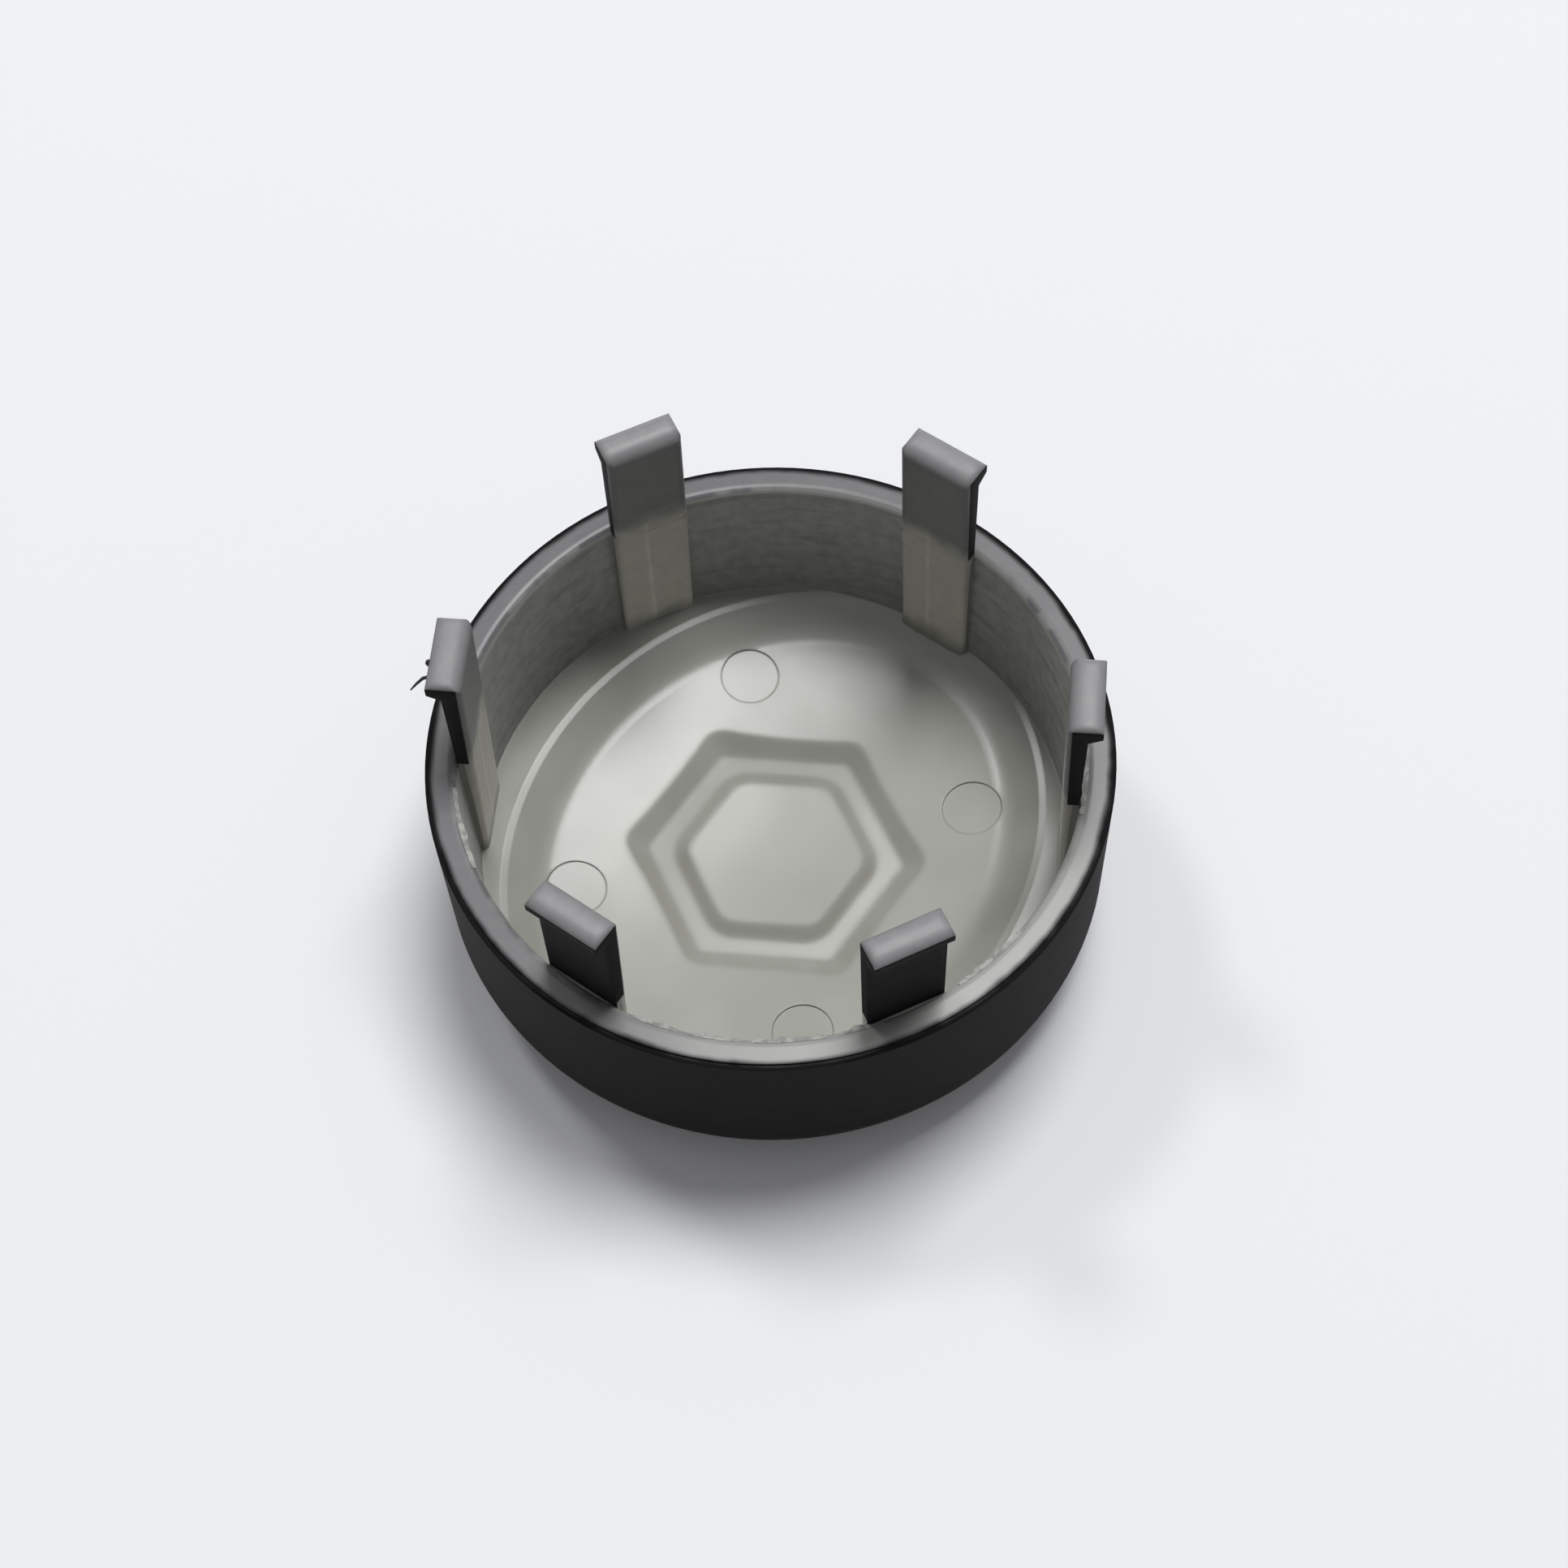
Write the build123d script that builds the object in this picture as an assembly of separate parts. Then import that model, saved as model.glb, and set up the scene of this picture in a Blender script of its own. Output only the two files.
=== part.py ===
from build123d import *
from math import cos, radians, sin, sqrt, tan
import os

# Wheel centre cap: one moulded cup with six snap clips, lying on its front.
# +Z points out of the open side, the way the clips enter the wheel. X runs along the long axis
# of the oval field in the face. The origin is on the axis, in the plane of the raised ring on
# the front, which is what the cap rests on.

# Driving dimensions, in millimetres and degrees

# Cup
cap_diameter = 60.0
wall_height = 17.5
wall_thickness = 2.8
wall_draft = 1.0
face_thickness = 1.7
front_corner_radius = 2.4
rim_inner_radius = 0.8
rim_step_width = 0.45
rim_step_drop = 0.25
edge_facets = 4

# Oval field, a domed dish inside that stands out in front
field_end_overrun = 0.55
field_side_land = 3.75
field_depth = 3.8
field_slope = 33.0
dome_length_radius = 178.0
dome_width_radius = 120.0
field_fillet = 4.8
field_edge_break = 0.35
front_end_margin = 0.5
front_side_growth = 0.4
front_field_radius = 0.9

# Six-sided ring in the field, a channel inside and a ridge in front
ring_sides = 6
ring_across_corners = 29.0
ring_width = 6.2
ring_depth = 1.3
ring_slope = 36.0
ring_corner_radius = 2.6
ring_inner_corner_radius = 1.0
ring_foot_corner_radius = 0.65
ridge_height = 0.4

# Snap clips
clip_count = 6
clip_width = 7.1
clip_height = 12.8
leg_set_in = 0.3
leg_top_thickness = 1.8
leg_foot_thickness = 0.9
barb_overhang = 1.2
barb_bevel_run = 0.7
barb_bevel_drop = 0.45
barb_face_height = 0.9
barb_underside_drop = 0.7
clip_top_radius = 1.3
clip_side_radius = 0.5
clip_corner_radius = 0.5

# Round marks that the ejector pins leave in the field
pin_diameter = 5.5
pin_x = 13.75
pin_y = 12.7
pin_sink = 0.12

# Levels and radii that follow from the driving dimensions
field_front_z = ridge_height
face_z = field_front_z + field_depth
floor_z = face_z + face_thickness
field_z = floor_z - field_depth
rim_z = face_z + wall_height
clip_top_z = rim_z + clip_height
cap_radius = cap_diameter / 2
front_radius = cap_radius - front_corner_radius
rim_bore = cap_radius - wall_thickness
floor_bore = rim_bore - (rim_z - floor_z) * tan(radians(wall_draft))
field_half_length = floor_bore + field_end_overrun
field_half_width = floor_bore - field_side_land
leg_outer_radius = rim_bore - leg_set_in
side_to_corner = cos(radians(180 / ring_sides))


def faceted_arc(centre, radius, start_angle):
    """Quarter turn as a few straight facets, which keeps a rounding that runs all round the cup light."""
    arc = CenterArc(centre, radius, start_angle, 90)
    return Polyline([arc @ (place / edge_facets) for place in range(edge_facets + 1)])


def cup():
    """Face, wall and rim as one turned shape."""
    corner_top_z = face_z + front_corner_radius
    corner = faceted_arc((front_radius, corner_top_z), front_corner_radius, -90)
    step_edge = (cap_radius - rim_step_width, rim_z - rim_step_drop)
    step = Polyline(corner @ 1, (cap_radius, step_edge[1]), step_edge, (step_edge[0], rim_z))
    lip = faceted_arc((rim_bore + rim_inner_radius, rim_z - rim_inner_radius), rim_inner_radius, 90)
    outline = [
        Line((0, face_z), corner @ 0),
        corner,
        step,
        Line(step @ 1, lip @ 0),
        lip,
        Polyline(lip @ 1, (floor_bore, floor_z), (0, floor_z), (0, face_z)),
    ]
    return revolve(Plane.XZ * make_face(outline), Axis.Z)


def dome_rise(distance, dome_radius):
    """Height of a dome above its middle, at a distance from it."""
    return dome_radius - sqrt(dome_radius**2 - distance**2)


def dome_block(growth):
    """Block over the whole face with the field's dome as its underside, which is lower by growth."""
    sections = []
    for x in (-cap_radius, 0, cap_radius):
        low = field_z - growth + dome_rise(x, dome_length_radius)
        high = low + dome_rise(cap_radius, dome_width_radius)
        arc = ThreePointArc((-cap_radius, high), (0, low), (cap_radius, high))
        outline = [arc, Polyline(arc @ 1, (cap_radius, rim_z), (-cap_radius, rim_z), arc @ 0)]
        sections.append(Plane.YZ.offset(x) * make_face(outline))
    return loft(sections)


def oval_block(half_length, half_width, top_z, depth, slope):
    """Oval block that narrows downwards from top_z, its flank at one slope to the level."""
    run = depth / tan(radians(slope))
    top = Pos(0, 0, top_z) * Ellipse(half_length, half_width)
    bottom = Pos(0, 0, top_z - depth) * Ellipse(half_length - run, half_width - run)
    return loft([top, bottom], ruled=True)


def field_dish():
    """What the dished field takes out of the floor, kept inside the wall."""
    block = oval_block(field_half_length, field_half_width, floor_z, floor_z, field_slope)
    dome = dome_block(0)
    dish = block & dome
    dish = fillet(new_edges(block, dome, combined=dish), field_fillet)
    steep = tan(radians(field_slope))
    gentle = tan(radians(field_slope / 2))
    break_depth = field_edge_break * steep * gentle / (steep - gentle)
    break_half_length = field_half_length + field_edge_break
    break_half_width = field_half_width + field_edge_break
    edge_break = oval_block(break_half_length, break_half_width, floor_z, break_depth, field_slope / 2)
    wall_space = extrude(Pos(0, 0, field_z) * Circle(floor_bore), field_depth)
    return (dish + edge_break) & wall_space


def field_front():
    """Oval step that stands out in front of the face, behind the dished field."""
    half_length = front_radius - front_end_margin
    half_width = field_half_width + front_side_growth
    block = oval_block(half_length, half_width, face_z, face_z, field_slope)
    dome = dome_block(face_thickness)
    front = block & dome
    return fillet(new_edges(block, dome, combined=front), front_field_radius)


def ring_sided_block(to_corners, corner_radius, top_z, depth, slope):
    """Block with the ring's sides, one corner on X, narrower below (wider, at a negative slope)."""
    run = depth / tan(radians(slope))
    top = RegularPolygon(to_corners, ring_sides)
    top = fillet(top.vertices(), corner_radius)
    bottom = RegularPolygon(to_corners - run / side_to_corner, ring_sides)
    bottom = fillet(bottom.vertices(), max(corner_radius - run, ring_foot_corner_radius))
    return loft([Pos(0, 0, top_z) * top, Pos(0, 0, top_z - depth) * bottom], ruled=True)


def ring_block(growth, top_z, bottom_z):
    """Six-sided ring with sloped flanks, widest at top_z and there larger by growth all round."""
    depth = top_z - bottom_z
    outer_corners = ring_across_corners / 2 + growth / side_to_corner
    inner_corners = ring_across_corners / 2 - (ring_width + growth) / side_to_corner
    outer = ring_sided_block(outer_corners, ring_corner_radius + growth, top_z, depth, ring_slope)
    island = ring_sided_block(inner_corners, ring_inner_corner_radius, top_z, depth, -ring_slope)
    return outer - island


def ring_channel():
    """Channel of the ring, sunk into the domed field."""
    middle_radius = ring_across_corners / 2 - ring_width / 2
    top_z = field_z + dome_rise(ring_across_corners / 2, dome_width_radius)
    bottom_z = field_z + dome_rise(middle_radius, dome_width_radius) - ring_depth
    return ring_block(0, top_z, bottom_z)


def ring_ridge():
    """Ridge in front, which keeps the face's thickness round the channel."""
    slope = radians(ring_slope)
    rise = dome_rise(ring_across_corners / 2, dome_width_radius)
    growth = face_thickness / sin(slope) - rise / tan(slope)
    return ring_block(growth, field_z, 0)


def pin_marks():
    """Shallow round pockets at the ejector pins, which follow the dome and cut into the slope round it."""
    pin = extrude(Circle(pin_diameter / 2), floor_z)
    dome = dome_block(pin_sink)
    return [Pos(x, y, 0) * pin & dome for x in (-pin_x, pin_x) for y in (-pin_y, pin_y)]


def clip():
    """Snap clip on the X axis: a leg that runs up the wall and a barbed head above the rim."""
    tip_radius = leg_outer_radius + barb_overhang
    tip_top_z = clip_top_z - barb_bevel_drop
    tip_bottom_z = tip_top_z - barb_face_height
    root_z = rim_z - rim_inner_radius
    in_wall = (cap_radius + rim_bore) / 2
    in_face = (face_z + floor_z) / 2
    inner_top = (leg_outer_radius - leg_top_thickness, clip_top_z)
    side_outline = Polyline(
        inner_top,
        (tip_radius - barb_bevel_run, clip_top_z),
        (tip_radius, tip_top_z),
        (tip_radius, tip_bottom_z),
        (leg_outer_radius, tip_bottom_z - barb_underside_drop),
        (leg_outer_radius, root_z),
        (in_wall, root_z - rim_inner_radius),
        (in_wall, in_face),
        (leg_outer_radius - leg_foot_thickness, in_face),
        close=True,
    )
    side = make_face(side_outline)
    rounded_side = fillet(side.vertices().sort_by_distance(inner_top)[0], clip_top_radius)
    leg = extrude(Plane.XZ * side, clip_width / 2, both=True)
    inner_edges = leg.edges().filter_by(Plane.XZ).group_by(Edge.length)[-1]
    leg = fillet(inner_edges, clip_side_radius)
    front = Rectangle(clip_width, 2 * clip_top_z)
    front = fillet(front.vertices().group_by(Axis.Y)[-1], clip_corner_radius)
    head = extrude(Plane.XZ * rounded_side, clip_width / 2, both=True)
    return leg & head & extrude(Plane.YZ * front, cap_radius)


def cap():
    """The whole moulding as one solid."""
    body = cup() + field_front() + ring_ridge()
    body -= [field_dish(), ring_channel(), *pin_marks()]
    one_clip = clip()
    body += [Rot(0, 0, 360 / clip_count * place) * one_clip for place in range(clip_count)]
    return body


os.makedirs("parts", exist_ok=True)
export_step(cap(), "parts/centre_cap.step")
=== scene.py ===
from math import cos, pi, radians, sin, sqrt, tan
from random import Random
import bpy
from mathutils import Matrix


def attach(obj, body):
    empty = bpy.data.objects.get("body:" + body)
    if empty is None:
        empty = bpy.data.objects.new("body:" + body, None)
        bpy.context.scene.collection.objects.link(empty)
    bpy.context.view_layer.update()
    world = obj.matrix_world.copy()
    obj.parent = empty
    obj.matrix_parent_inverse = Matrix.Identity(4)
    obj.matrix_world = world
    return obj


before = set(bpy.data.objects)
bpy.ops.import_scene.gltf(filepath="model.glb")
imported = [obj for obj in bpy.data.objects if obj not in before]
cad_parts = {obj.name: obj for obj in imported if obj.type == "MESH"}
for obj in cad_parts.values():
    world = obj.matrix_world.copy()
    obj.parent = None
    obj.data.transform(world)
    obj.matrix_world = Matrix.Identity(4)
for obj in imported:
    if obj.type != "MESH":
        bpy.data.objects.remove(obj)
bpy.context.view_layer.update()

from types import SimpleNamespace
import bmesh
import bpy
from mathutils import Matrix, Vector

MILLIMETRE = 0.001

# Levels and radii of the part, in millimetres
FLOOR_Z = 5.9
RIM_Z = 21.7
RIM_BORE = 27.2
CAP_RADIUS = 30.0
RING_RADIUS = 15.0
STRIP_RADIUS = 26.6
CLIP_COUNT = 6
BARB_FACE_Z = 33.6

# Camera, fitted to the photograph: metres, degrees, and pixels of the image for the focal length.
# Azimuths of the lamps, the webs of flash and the rim's side with painted sheen count from the photograph's
# right, and PART_TURN takes them to the part's X axis.
IMAGE_WIDTH = 1932
FOCAL_LENGTH = 3400
SENSOR_WIDTH = 36.0
NEAREST_SEEN = 0.01
CAMERA_BACK = 0.1184
CAMERA_ABOVE_RIM = 0.2081
CAMERA_PITCH = 61.095
CAMERA_YAW = 0.525
CAMERA_ROLL = -2.815
PART_TURN = -51.85

# Lamps in degrees and metres, their levels as shares of the light that a level surface gets
LAMP_DISTANCE = 2.5
KEY = dict(azimuth=57, elevation=71, spread=24, level=0.67)
SECOND = dict(azimuth=130, elevation=55, spread=10, level=0.13)
TOP = dict(azimuth=67, elevation=80, spread=80, level=0.12)

# World and floor: metres, and colours as they look and as they light the part
AMBIENT = (0.09, 0.09, 0.094)
PALE = (0.85, 0.86, 0.875)
FLOOR_BOUNCE = (0.25, 0.25, 0.26)
FLOOR_RADIUS = 3.0
FLOOR_SIDES = 96
FLOOR_GAP = 0.00002
GLOW_FADE = (0.2, 0.6)
# Near the part the floor glows a little, a painted light that lightens its shadow there
GLOW_SHARES = (0.06, 1.0)

# Colours of the moulding: bare plastic inside, a thin coat on the rim and the heads, a full one outside,
# drawn so dark that it is partly painted shade
BARE_DARK = (0.292, 0.293, 0.263)
BARE_LIGHT = (0.312, 0.313, 0.283)
# WALL is partly painted light: the walls are drawn lighter than the same bare plastic on the face
WALL = (0.37, 0.37, 0.357)
# The strips are lighter and warmer than the plastic above the rim, partly as painted light bounced from the
# floor of the cup; the seam's lighter band paints the lit side of its small step
STRIP = (0.6, 0.58, 0.525)
STRIP_SEAM = (0.72, 0.7, 0.645)
RIM_COAT = (0.105, 0.105, 0.11)
# The rim's lighter colour on one side is a painted highlight of the key lamp, not bare plastic
RIM_PAINTED_SHEEN = (0.29, 0.29, 0.28)
HEAD_DARK = (0.22, 0.22, 0.227)
HEAD_LIGHT = (0.24, 0.24, 0.246)
# The outside's near-black is partly a dark coat and partly painted shade on the walls and clip faces that
# face outwards
DARK_COAT_AND_SHADE = (0.006, 0.0058, 0.0066)
SCUFFED_COAT_AND_SHADE = (0.009, 0.0087, 0.0096)
FLASH = (0.42, 0.42, 0.4)
FLASH_DARK = (0.26, 0.26, 0.25)

# Gloss of the moulding, zone by zone
FACE_ROUGHNESS = 0.27
WALL_ROUGHNESS = 0.43
RIM_ROUGHNESS = 0.36
HEAD_ROUGHNESS = 0.41
COAT_ROUGHNESS = 0.82
FLASH_ROUGHNESS = 0.45
PLASTIC_SPECULAR = 0.44
FLASH_SPECULAR = 0.25
FULL_GLOSS = (1, 1, 1)
COAT_GLOSS = (0.15, 0.15, 0.15)

# Where a zone of the moulding begins and where it is complete, in millimetres
ABOVE_FLOOR = (FLOOR_Z, FLOOR_Z + 0.1)
BELOW_FLOOR = (FLOOR_Z + 0.1, FLOOR_Z)
BELOW_RIM = (RIM_Z, RIM_Z - 1.0)
ABOVE_RIM = (RIM_Z, RIM_Z + 0.2)
STRIP_FACE = (STRIP_RADIUS, STRIP_RADIUS - 0.15)
STRIP_FOOT = (FLOOR_Z - 0.8, FLOOR_Z + 2.5)
HEAD_FOOT = (RIM_Z - 0.2, RIM_Z + 3.0)
RIM_INSIDE = (RIM_BORE - 0.1, RIM_BORE + 0.05)
RIM_TOP = (RIM_Z - 0.6, RIM_Z - 0.15)
WORN_LIP = (RIM_BORE + 0.9, RIM_BORE + 0.2)
COAT_EDGE = (CAP_RADIUS - 1.05, CAP_RADIUS - 0.25)
RING_REACH = (RING_RADIUS + 1.0, RING_RADIUS)
SEAM_LEFT = (0.2, 0.5)
SEAM_RIGHT = (1.0, 0.6)

# The same for the way that a surface faces, from minus one to one
FACES_IN = (-0.6, -0.85)
FACES_UP = (0.5, 0.7)
FACES_OUT = (0.3, 0.6)
CLIP_FACES_OUT = (-0.25, -0.02)

# Unevenness of the plastic: noise in lumps to the millimetre, and what it does to the zones
WANDER_SCALE = 0.3
WANDER_REACH = (-0.5, 0.5)
WANDER_ACROSS_RIM = 0.2
CLOUD_SCALE = 0.22
CLOUD_DETAIL = 0.0
MOTTLE_SCALE = 0.9
DRAG_STRETCH = (0.12, 0.12, 1.1)
DRAG_SCALE = 1.0
DRAG_DETAIL = 4.0
FLASH_SCALE = 1.5
NOISE_SPAN = (0.3, 0.7)
FLASH_SPAN = (0.35, 0.65)
WALL_DRAG_SPAN = (0.5, 0.72)
COAT_DRAG_SPAN = (0.35, 0.7)
WALL_MOTTLE = (0.9, 1.1)
WALL_DRAG = (1.0, 0.78)
# Painted shade on the walls: darker towards the floor of the cup and lighter towards the rim
WALL_PAINTED_SHADE = (0.72, 1.2)
STRIP_MOTTLE = (0.0, 0.15)
WORN_SPAN = (-0.3, 0.3)
WORN_SHARES = (0.0, 0.45)
# The rim is painted lighter towards this side: a painted highlight of the key lamp
RIM_SHEEN_SIDE = 295
RIM_SHEEN_FADE = (0.3, 1.0)

# Relief of the plastic: bumps in millimetres, and roundings of edges, by shading alone, in metres
BARE_GRAIN = 0.015
COATED_GRAIN = 0.005
FACE_GRAIN = 0.001
SEAM_HEIGHT = 0.06
EDGE_ROUNDING = 0.00025
SOFT_ROUNDING = 0.001
ROUNDING_SAMPLES = 4

# Ragged webs of flash on the rim's inner edge: azimuths from and to in degrees, reach in millimetres
FLASH_WEBS = [
    (243, 251, 0.35),
    (253, 262, 0.25),
    (264, 277, 0.4),
    (279, 287, 0.45),
    (302, 318, 0.4),
    (343, 359, 0.5),
    (184, 201, 0.3),
]
FLASH_ROOT_RADIUS = RIM_BORE + 0.44
FLASH_ROOT_Z = RIM_Z - 0.144
FLASH_STEP = 0.45
FLASH_THICKNESS = 0.2
FLASH_LEAST_REACH = 0.32
FLASH_TEAR = (0.15, 1.0)
FLASH_TEAR_POWER = 1.5
FLASH_LEAST_SAG = 0.05
FLASH_SAG_SHARE = 0.25
FLASH_WAVE = 0.04

# Whisker and drop of flash on one clip, which is found by its azimuth from the part's X axis.
# Their places are in millimetres from the axis, sideways and up from the level of the barbs.
WHISKER_CLIP = 120
WHISKER_POINTS = [(27.9, 1.9, 0.0), (28.5, 2.1, -0.05), (29.0, 2.6, -0.2), (29.4, 3.2, -0.25)]
WHISKER_RADII = [0.17, 0.15, 0.12, 0.06]
WHISKER_SIDES = 8
DROP_PLACE = (28.2, 0.7, 0.15)
DROP_RADIUS = 0.28
DROP_SUBDIVISIONS = 3
DROP_UNEVENNESS = 0.06
DROP_STRETCH = 1.3

# Places of the colour sockets on a Mix node, which has sockets of one name for each kind of data
MIX_COLOUR_INPUTS = (6, 7)
MIX_COLOUR_OUTPUT = 2


def direction(azimuth, elevation):
    """Unit vector from the part towards a place round the photograph's view."""
    turned = radians(azimuth + PART_TURN)
    raised = radians(elevation)
    return Vector((cos(turned) * cos(raised), sin(turned) * cos(raised), sin(raised)))


def join(tree, socket, value):
    """Feeds a socket from another one, or gives it a value."""
    if isinstance(value, bpy.types.NodeSocket):
        tree.links.new(value, socket)
    else:
        socket.default_value = value


def calc(tree, operation, *values):
    """Output of a Math node."""
    node = tree.nodes.new("ShaderNodeMath")
    node.operation = operation
    for socket, value in zip(node.inputs, values):
        join(tree, socket, value)
    return node.outputs["Value"]


def product(tree, first, *others):
    """Product of several values."""
    for other in others:
        first = calc(tree, "MULTIPLY", first, other)
    return first


def ramp(tree, value, start, end, low=0.0, high=1.0):
    """Smooth change from low to high while the value goes from start to end."""
    node = tree.nodes.new("ShaderNodeMapRange")
    node.interpolation_type = "SMOOTHSTEP"
    names = ("Value", "From Min", "From Max", "To Min", "To Max")
    for name, given in zip(names, (value, start, end, low, high)):
        join(tree, node.inputs[name], given)
    return node.outputs["Result"]


def between(tree, share, low, high):
    """Value that goes smoothly from low to high with a share."""
    return ramp(tree, share, 0.0, 1.0, low, high)


def mix_colour(tree, share, first, second, blend="MIX"):
    """Colour between two others."""
    node = tree.nodes.new("ShaderNodeMix")
    node.data_type = "RGBA"
    node.blend_type = blend
    join(tree, node.inputs["Factor"], share)
    for place, colour in zip(MIX_COLOUR_INPUTS, (first, second)):
        is_socket = isinstance(colour, bpy.types.NodeSocket)
        join(tree, node.inputs[place], colour if is_socket else (*colour, 1))
    return node.outputs[MIX_COLOUR_OUTPUT]


def stretched(tree, place, factors):
    """Place with each axis multiplied by its own factor."""
    node = tree.nodes.new("ShaderNodeVectorMath")
    node.operation = "MULTIPLY"
    join(tree, node.inputs[0], place)
    node.inputs[1].default_value = factors
    return node.outputs["Vector"]


def split(tree, vector):
    """The X, Y and Z of a vector."""
    node = tree.nodes.new("ShaderNodeSeparateXYZ")
    join(tree, node.inputs["Vector"], vector)
    return node.outputs


def noise(tree, place, scale, detail=2.0):
    """Noise around one half at a place in millimetres, with scale lumps to the millimetre."""
    node = tree.nodes.new("ShaderNodeTexNoise")
    join(tree, node.inputs["Vector"], place)
    node.inputs["Scale"].default_value = scale
    node.inputs["Detail"].default_value = detail
    return node.outputs["Fac"]


def seen_directly(tree):
    """One for rays from the camera, mirrored or through glass, and zero for light that bounces."""
    path = tree.nodes.new("ShaderNodeLightPath").outputs
    mirrored = calc(tree, "MAXIMUM", path["Is Glossy Ray"], path["Is Transmission Ray"])
    return calc(tree, "MAXIMUM", path["Is Camera Ray"], mirrored)


def place_on_part(tree):
    """The shaded point in millimetres, and how far its surface faces outwards and upwards."""
    in_metres = tree.nodes.new("ShaderNodeTexCoord").outputs["Object"]
    place = stretched(tree, in_metres, (1 / MILLIMETRE, 1 / MILLIMETRE, 1 / MILLIMETRE))
    x, y, z = split(tree, place)
    facing_x, facing_y, up = split(tree, tree.nodes.new("ShaderNodeNewGeometry").outputs["Normal"])
    radius = calc(tree, "SQRT", calc(tree, "ADD", product(tree, x, x), product(tree, y, y)))
    along = calc(tree, "ADD", product(tree, x, facing_x), product(tree, y, facing_y))
    outwards = calc(tree, "DIVIDE", along, radius)
    return SimpleNamespace(place=place, x=x, y=y, z=z, radius=radius, outwards=outwards, up=up)


def beside_clip(tree, at):
    """Distance sideways from the middle of the nearest clip."""
    half_step = pi / CLIP_COUNT
    from_clip = calc(tree, "WRAP", calc(tree, "ARCTAN2", at.y, at.x), half_step, -half_step)
    return product(tree, at.radius, calc(tree, "SINE", from_clip))


def towards(tree, at, azimuth):
    """How far a point lies towards a place round the photograph's view, from minus one to one."""
    out = direction(azimuth, 0)
    along = calc(tree, "ADD", product(tree, at.x, out.x), product(tree, at.y, out.y))
    return calc(tree, "DIVIDE", along, at.radius)


def plastic_zones(tree, at):
    """Share of each zone: strips on the legs, wall, face, rim, worn lip, heads and the outside, coated and
    partly painted with shade.
    """
    wander = ramp(tree, noise(tree, at.place, WANDER_SCALE), *NOISE_SPAN, *WANDER_REACH)
    uneven_z = calc(tree, "ADD", at.z, wander)
    uneven_radius = calc(tree, "ADD", at.radius, product(tree, wander, WANDER_ACROSS_RIM))
    above_floor = ramp(tree, at.z, *ABOVE_FLOOR)

    on_leg = ramp(tree, at.radius, *STRIP_FACE)
    leg = product(tree, on_leg, above_floor, ramp(tree, uneven_z, *STRIP_FOOT))
    head = ramp(tree, uneven_z, *HEAD_FOOT)
    faces_in = ramp(tree, at.outwards, *FACES_IN)
    wall = product(tree, faces_in, above_floor, ramp(tree, at.z, *BELOW_RIM))
    face = product(tree, ramp(tree, at.up, *FACES_UP), ramp(tree, at.z, *BELOW_FLOOR))
    rim = product(tree, ramp(tree, at.radius, *RIM_INSIDE), ramp(tree, at.z, *RIM_TOP))
    lip = ramp(tree, uneven_radius, *WORN_LIP, *WORN_SHARES)
    worn = product(tree, rim, lip, ramp(tree, wander, *WORN_SPAN))

    out_and_down = calc(tree, "SUBTRACT", at.outwards, at.up)
    cup_side = ramp(tree, out_and_down, *FACES_OUT)
    cup_edge = ramp(tree, uneven_radius, *COAT_EDGE)
    clip_side = product(tree, ramp(tree, at.z, *ABOVE_RIM), ramp(tree, out_and_down, *CLIP_FACES_OUT))
    outside = calc(tree, "MAXIMUM", calc(tree, "MAXIMUM", cup_side, cup_edge), clip_side)
    return SimpleNamespace(leg=leg, wall=wall, face=face, rim=rim, worn=worn, head=head, outside=outside)


def plastic_marks(tree, at, zone):
    """Clouds and mottling of the plastic, drag lines round the cup and the seam down each strip."""
    beside = beside_clip(tree, at)
    on_strip = product(tree, zone.leg, between(tree, zone.head, 1.0, 0.0))
    return SimpleNamespace(
        cloud=noise(tree, at.place, CLOUD_SCALE, CLOUD_DETAIL),
        mottle=noise(tree, at.place, MOTTLE_SCALE),
        drag=noise(tree, stretched(tree, at.place, DRAG_STRETCH), DRAG_SCALE, DRAG_DETAIL),
        seam=product(tree, ramp(tree, beside, *SEAM_LEFT), ramp(tree, beside, *SEAM_RIGHT), on_strip),
    )


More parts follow.
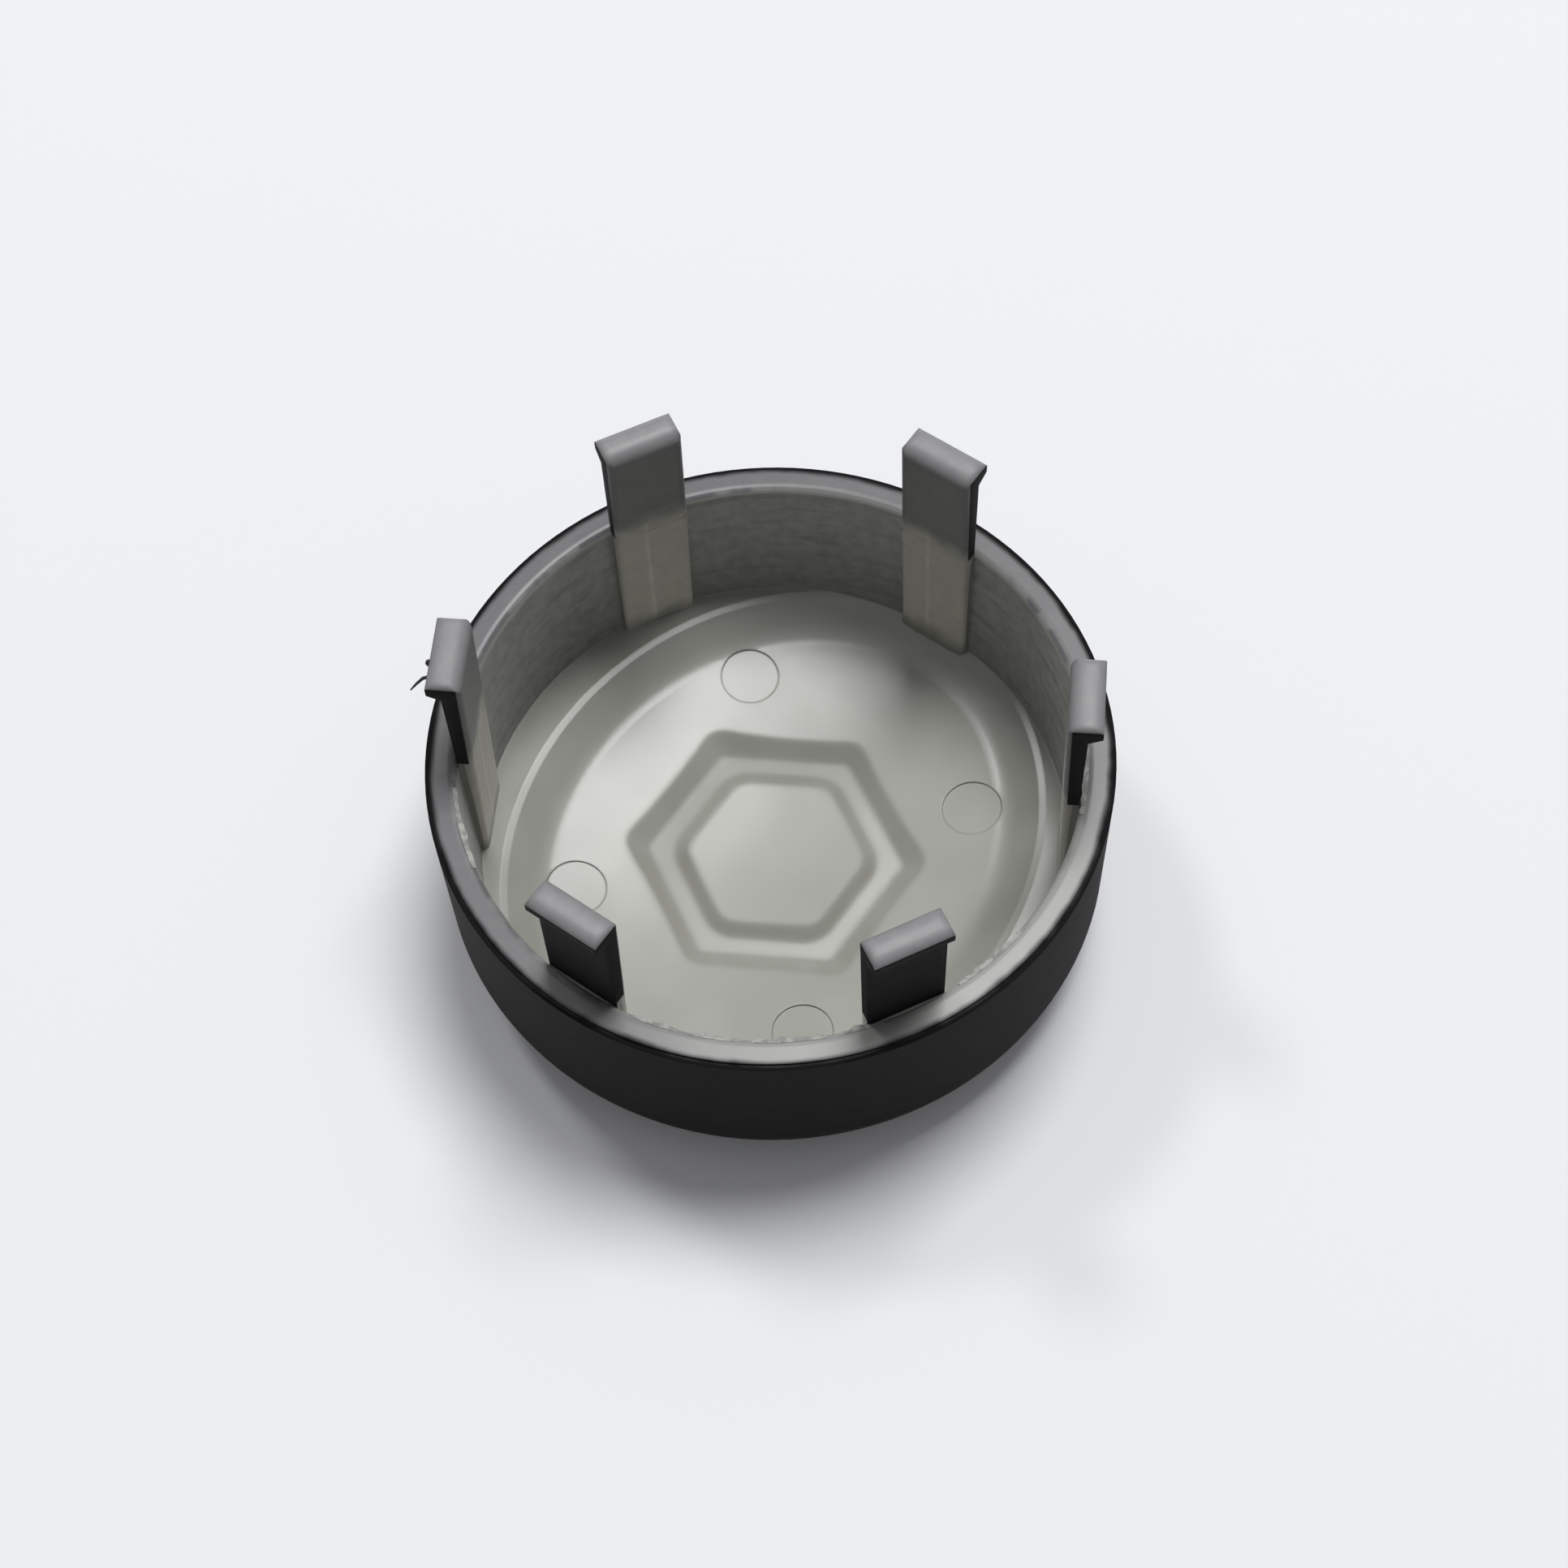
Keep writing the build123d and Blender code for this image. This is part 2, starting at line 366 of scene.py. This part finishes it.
def plastic_colour(tree, at, zone, marks):
    """Bare plastic, with the colour of each zone laid over it."""
    colour = mix_colour(tree, ramp(tree, marks.cloud, *NOISE_SPAN), BARE_DARK, BARE_LIGHT)

    colour = mix_colour(tree, zone.wall, colour, WALL)
    wall_shades = [
        ramp(tree, marks.mottle, *NOISE_SPAN, *WALL_MOTTLE),
        ramp(tree, marks.drag, *WALL_DRAG_SPAN, *WALL_DRAG),
        # painted shade, darker towards the floor of the cup and lighter towards the rim
        ramp(tree, at.z, FLOOR_Z, RIM_Z, *WALL_PAINTED_SHADE),
    ]
    for shade in wall_shades:
        colour = mix_colour(tree, zone.wall, colour, shade, "MULTIPLY")

    # Strips with painted bounce light, and a seam whose lit side is painted lighter
    strip = mix_colour(tree, marks.seam, STRIP, STRIP_SEAM)
    strip = mix_colour(tree, ramp(tree, marks.mottle, *NOISE_SPAN, *STRIP_MOTTLE), strip, BARE_LIGHT)
    colour = mix_colour(tree, zone.leg, colour, strip)

    # Painted highlight: the rim is lighter on the side where the key lamp's sheen falls
    sheen_side = ramp(tree, towards(tree, at, RIM_SHEEN_SIDE), *RIM_SHEEN_FADE)
    rim = mix_colour(tree, sheen_side, RIM_COAT, RIM_PAINTED_SHEEN)
    rim = mix_colour(tree, zone.worn, rim, FLASH)
    colour = mix_colour(tree, zone.rim, colour, rim)

    head = mix_colour(tree, ramp(tree, marks.mottle, *NOISE_SPAN), HEAD_DARK, HEAD_LIGHT)
    colour = mix_colour(tree, zone.head, colour, head)

    # The outside gets a dark coat with scuffs, drawn darker still so that it also stands in for the shade on
    # surfaces that face outwards
    coat = mix_colour(tree, ramp(tree, marks.drag, *COAT_DRAG_SPAN), DARK_COAT_AND_SHADE, SCUFFED_COAT_AND_SHADE)
    return mix_colour(tree, zone.outside, colour, coat)


def plastic_roughness(tree, zone):
    """Roughness of the face, and of each zone over it."""
    rough = between(tree, zone.wall, FACE_ROUGHNESS, WALL_ROUGHNESS)
    rough = between(tree, zone.rim, rough, RIM_ROUGHNESS)
    rough = between(tree, zone.head, rough, HEAD_ROUGHNESS)
    return between(tree, zone.outside, rough, COAT_ROUGHNESS)


def plastic_normal(tree, at, zone, marks):
    """Way that the surface faces, with its edges softened and a little grain."""
    rounded = tree.nodes.new("ShaderNodeBevel")
    rounded.samples = ROUNDING_SAMPLES
    on_ring = product(tree, zone.face, ramp(tree, at.radius, *RING_REACH))
    soft = calc(tree, "MAXIMUM", on_ring, zone.head)
    join(tree, rounded.inputs["Radius"], between(tree, soft, EDGE_ROUNDING, SOFT_ROUNDING))

    coated = calc(tree, "MAXIMUM", zone.rim, zone.head)
    grain = between(tree, coated, BARE_GRAIN, COATED_GRAIN)
    grain = product(tree, marks.mottle, between(tree, zone.face, grain, FACE_GRAIN))
    bump = tree.nodes.new("ShaderNodeBump")
    bump.inputs["Distance"].default_value = MILLIMETRE
    join(tree, bump.inputs["Height"], calc(tree, "ADD", grain, product(tree, marks.seam, SEAM_HEIGHT)))
    join(tree, bump.inputs["Normal"], rounded.outputs["Normal"])
    return bump.outputs["Normal"]


def new_material(name):
    """New material, with its node tree and the inputs of its shader."""
    material = bpy.data.materials.new(name)
    material.use_nodes = True
    tree = material.node_tree
    return material, tree, tree.nodes["Principled BSDF"].inputs


def plastic_material():
    """Satin moulded plastic: bare and scuffed inside, thinly coated on the rim and heads, dark outside,
    where the coat's colour is partly painted shade.
    """
    material, tree, inputs = new_material("cap_plastic")
    at = place_on_part(tree)
    zone = plastic_zones(tree, at)
    marks = plastic_marks(tree, at, zone)
    join(tree, inputs["Base Color"], plastic_colour(tree, at, zone, marks))
    join(tree, inputs["Roughness"], plastic_roughness(tree, zone))
    inputs["Specular IOR Level"].default_value = PLASTIC_SPECULAR
    join(tree, inputs["Specular Tint"], mix_colour(tree, zone.outside, FULL_GLOSS, COAT_GLOSS))
    join(tree, inputs["Normal"], plastic_normal(tree, at, zone, marks))
    return material


def flash_material(name, dark, light):
    """Thin torn plastic, a little uneven."""
    material, tree, inputs = new_material(name)
    uneven = ramp(tree, noise(tree, place_on_part(tree).place, FLASH_SCALE), *FLASH_SPAN)
    join(tree, inputs["Base Color"], mix_colour(tree, uneven, dark, light))
    inputs["Roughness"].default_value = FLASH_ROUGHNESS
    inputs["Specular IOR Level"].default_value = FLASH_SPECULAR
    return material


def add_piece(name, mesh, material):
    """New object from a bmesh in millimetres, which rides on the part."""
    bmesh.ops.recalc_face_normals(mesh, faces=mesh.faces)
    bmesh.ops.scale(mesh, vec=(MILLIMETRE, MILLIMETRE, MILLIMETRE), verts=mesh.verts)
    data = bpy.data.meshes.new(name)
    mesh.to_mesh(data)
    mesh.free()
    data.materials.append(material)
    piece = bpy.data.objects.new(name, data)
    bpy.context.collection.objects.link(piece)
    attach(piece, "root")
    return piece


def skin(mesh, rings):
    """Closes a row of rings of corners into one tube with ends."""
    for first, second in zip(rings, rings[1:]):
        for corner in range(len(first)):
            after = (corner + 1) % len(first)
            mesh.faces.new((first[corner], first[after], second[after], second[corner]))
    mesh.faces.new(rings[0])
    mesh.faces.new(rings[-1])


def flash_web(number, start, end, reach, material):
    """Thin web with a torn edge that hangs inwards from the rim's rounded inner edge."""
    draw = Random(number)
    steps = round(radians(end - start) * RIM_BORE / FLASH_STEP)
    mesh = bmesh.new()
    rings = []
    for step in range(steps + 1):
        along = step / steps
        angle = radians(start + PART_TURN + (end - start) * along)
        swell = sqrt(sin(pi * along)) if 0 < step < steps else 0.0
        torn = FLASH_LEAST_REACH + reach * swell * draw.uniform(*FLASH_TEAR) ** FLASH_TEAR_POWER
        tip_radius = FLASH_ROOT_RADIUS - torn
        sag = FLASH_LEAST_SAG + FLASH_SAG_SHARE * torn
        tip_z = FLASH_ROOT_Z - sag + draw.uniform(-FLASH_WAVE, FLASH_WAVE)
        corners = [
            (FLASH_ROOT_RADIUS, FLASH_ROOT_Z + FLASH_THICKNESS / 2),
            (tip_radius, tip_z + FLASH_THICKNESS / 4),
            (tip_radius, tip_z - FLASH_THICKNESS / 4),
            (FLASH_ROOT_RADIUS, FLASH_ROOT_Z - FLASH_THICKNESS),
        ]
        points = [(cos(angle) * radius, sin(angle) * radius, z) for radius, z in corners]
        rings.append([mesh.verts.new(point) for point in points])
    skin(mesh, rings)
    add_piece(f"flash_web_{number}", mesh, material)


def on_whisker_clip(radius, sideways, lift):
    """Point beside the barb of the clip that has the whisker."""
    azimuth = radians(WHISKER_CLIP)
    out = Vector((cos(azimuth), sin(azimuth), 0))
    side = Vector((-sin(azimuth), cos(azimuth), 0))
    return out * radius + side * sideways + Vector((0, 0, BARB_FACE_Z + lift))


def whisker(material):
    """Hair of flash that curls away from a barb."""
    mesh = bmesh.new()
    points = [on_whisker_clip(*point) for point in WHISKER_POINTS]
    rings = []
    for place, radius in enumerate(WHISKER_RADII):
        before = points[max(place - 1, 0)]
        after = points[min(place + 1, len(points) - 1)]
        turn = (after - before).to_track_quat("Z", "Y").to_matrix()
        ring = []
        for corner in range(WHISKER_SIDES):
            angle = 2 * pi * corner / WHISKER_SIDES
            spoke = turn @ Vector((cos(angle), sin(angle), 0))
            ring.append(mesh.verts.new(points[place] + spoke * radius))
        rings.append(ring)
    skin(mesh, rings)
    add_piece("flash_whisker", mesh, material).data.shade_smooth()


def drop(material):
    """Small drop of flash on the same barb."""
    mesh = bmesh.new()
    bmesh.ops.create_icosphere(mesh, subdivisions=DROP_SUBDIVISIONS, radius=DROP_RADIUS)
    draw = Random(len(FLASH_WEBS))
    for vert in mesh.verts:
        vert.co *= 1 + draw.uniform(-DROP_UNEVENNESS, DROP_UNEVENNESS)
        vert.co.z *= DROP_STRETCH
    bmesh.ops.translate(mesh, vec=on_whisker_clip(*DROP_PLACE), verts=mesh.verts)
    add_piece("flash_drop", mesh, material).data.shade_smooth()


def floor_material():
    """Matt pale floor that keeps its shadow near the part, lightened there by a little painted glow, and has
    the backdrop's tone further off.
    """
    material = bpy.data.materials.new("pale_floor")
    material.use_nodes = True
    tree = material.node_tree
    tree.nodes.clear()
    seen = seen_directly(tree)
    matt = tree.nodes.new("ShaderNodeBsdfDiffuse")
    join(tree, matt.inputs["Color"], mix_colour(tree, seen, FLOOR_BOUNCE, PALE))
    glow = tree.nodes.new("ShaderNodeEmission")
    glow.inputs["Color"].default_value = (*PALE, 1)
    distance = tree.nodes.new("ShaderNodeVectorMath")
    distance.operation = "LENGTH"
    join(tree, distance.inputs[0], tree.nodes.new("ShaderNodeTexCoord").outputs["Object"])
    far_off = ramp(tree, distance.outputs["Value"], *GLOW_FADE, *GLOW_SHARES)
    mixed = tree.nodes.new("ShaderNodeMixShader")
    for socket, value in zip(mixed.inputs, (product(tree, far_off, seen), matt.outputs[0], glow.outputs[0])):
        join(tree, socket, value)
    output = tree.nodes.new("ShaderNodeOutputMaterial")
    join(tree, output.inputs["Surface"], mixed.outputs[0])
    return material


def build_floor():
    """Round floor, a hair below the part so that the two never share a plane."""
    bpy.ops.mesh.primitive_circle_add(vertices=FLOOR_SIDES, radius=FLOOR_RADIUS, fill_type="NGON")
    floor = bpy.context.object
    floor.location.z = -FLOOR_GAP
    floor.name = "floor"
    floor.data.materials.append(floor_material())


def build_world():
    """Pale backdrop that lights the part only a little."""
    world = bpy.data.worlds.new("studio")
    bpy.context.scene.world = world
    world.use_nodes = True
    tree = world.node_tree
    colour = mix_colour(tree, seen_directly(tree), AMBIENT, PALE)
    join(tree, tree.nodes["Background"].inputs["Color"], colour)


def build_lamp(name, azimuth, elevation, spread, level):
    """Round soft lamp, its power worked out from the share of light it gives a level surface."""
    data = bpy.data.lights.new(name, "AREA")
    data.shape = "DISK"
    data.size = 2 * LAMP_DISTANCE * tan(radians(spread / 2))
    to_edge_squared = LAMP_DISTANCE ** 2 + (data.size / 2) ** 2
    data.energy = level * pi ** 2 * to_edge_squared / sin(radians(elevation))
    lamp = bpy.data.objects.new(name, data)
    bpy.context.collection.objects.link(lamp)
    out = direction(azimuth, elevation)
    lamp.location = out * LAMP_DISTANCE
    lamp.rotation_euler = out.to_track_quat("Z", "Y").to_euler()


def build_camera():
    """Camera at the photograph's place and angle."""
    pitch = radians(CAMERA_PITCH)
    yaw = radians(CAMERA_YAW)
    roll = radians(CAMERA_ROLL)
    forward = Vector((sin(yaw) * cos(pitch), cos(yaw) * cos(pitch), -sin(pitch)))
    level_right = Vector((cos(yaw), -sin(yaw), 0))
    level_up = level_right.cross(forward)
    right = cos(roll) * level_right + sin(roll) * level_up
    up = cos(roll) * level_up - sin(roll) * level_right
    turn = Matrix.Rotation(radians(PART_TURN), 4, "Z")
    place = Matrix.Translation((0, -CAMERA_BACK, CAMERA_ABOVE_RIM + RIM_Z * MILLIMETRE))
    axes = Matrix((right, up, -forward)).transposed().to_4x4()
    data = bpy.data.cameras.new("camera")
    data.sensor_width = SENSOR_WIDTH
    data.lens = FOCAL_LENGTH / IMAGE_WIDTH * SENSOR_WIDTH
    data.clip_start = NEAREST_SEEN
    camera = bpy.data.objects.new("camera", data)
    bpy.context.collection.objects.link(camera)
    camera.matrix_world = turn @ place @ axes
    bpy.context.scene.camera = camera


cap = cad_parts["centre_cap"]
cap.data.materials.clear()
cap.data.materials.append(plastic_material())
pale_flash = flash_material("flash_plastic", FLASH_DARK, FLASH)
# The whisker and the drop take the outside's near-black, which is partly painted shade
dark_flash = flash_material("flash_dark_coat_and_shade", DARK_COAT_AND_SHADE, SCUFFED_COAT_AND_SHADE)
for number, (start, end, reach) in enumerate(FLASH_WEBS, 1):
    flash_web(number, start, end, reach, pale_flash)
whisker(dark_flash)
drop(dark_flash)
build_floor()
build_world()
build_lamp("key_lamp", **KEY)
build_lamp("second_lamp", **SECOND)
build_lamp("top_lamp", **TOP)
build_camera()
bpy.context.scene.view_settings.view_transform = "Standard"
